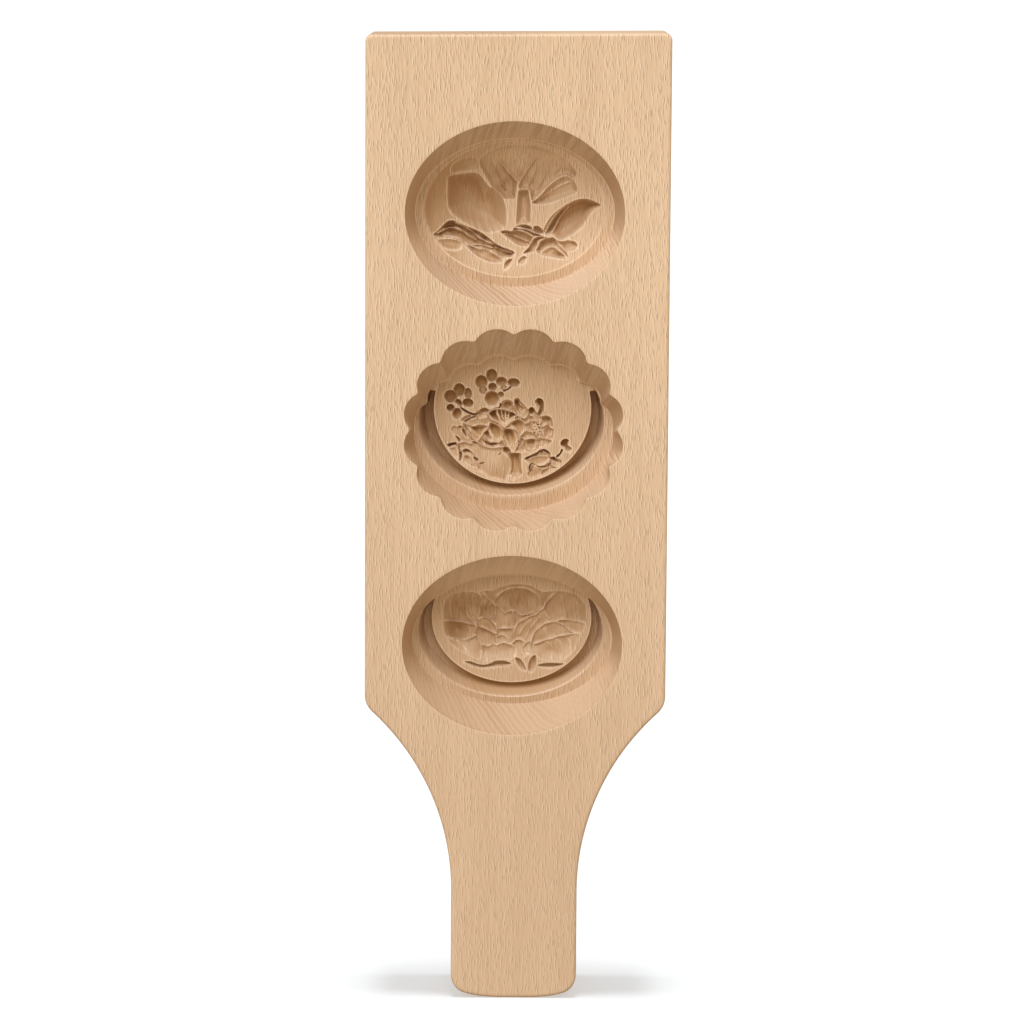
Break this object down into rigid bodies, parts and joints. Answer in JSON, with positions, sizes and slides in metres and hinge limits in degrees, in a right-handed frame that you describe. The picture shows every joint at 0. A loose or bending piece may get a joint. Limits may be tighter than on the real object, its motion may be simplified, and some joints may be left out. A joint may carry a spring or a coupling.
{
  "type": "wooden mooncake mold",
  "caption": "Hand-held carved wooden mold: a plank with a shaped grip and a row of drafted cavities, oval and scalloped, with flowers and leaves cut into their floors for pressing filled dough.",
  "frame": {"origin": "middle of the grip's end, where the mold stands", "axes": "+Z from the grip end to the head end, the carved face looks along -Y, +X to the right seen from the carved face"},
  "size_m": [0.091, 0.03, 0.2934],
  "materials": {
    "beech": "satin"
  },
  "bodies": {
    "root": {"mold_body": "beech"}
  },
  "joints": []
}
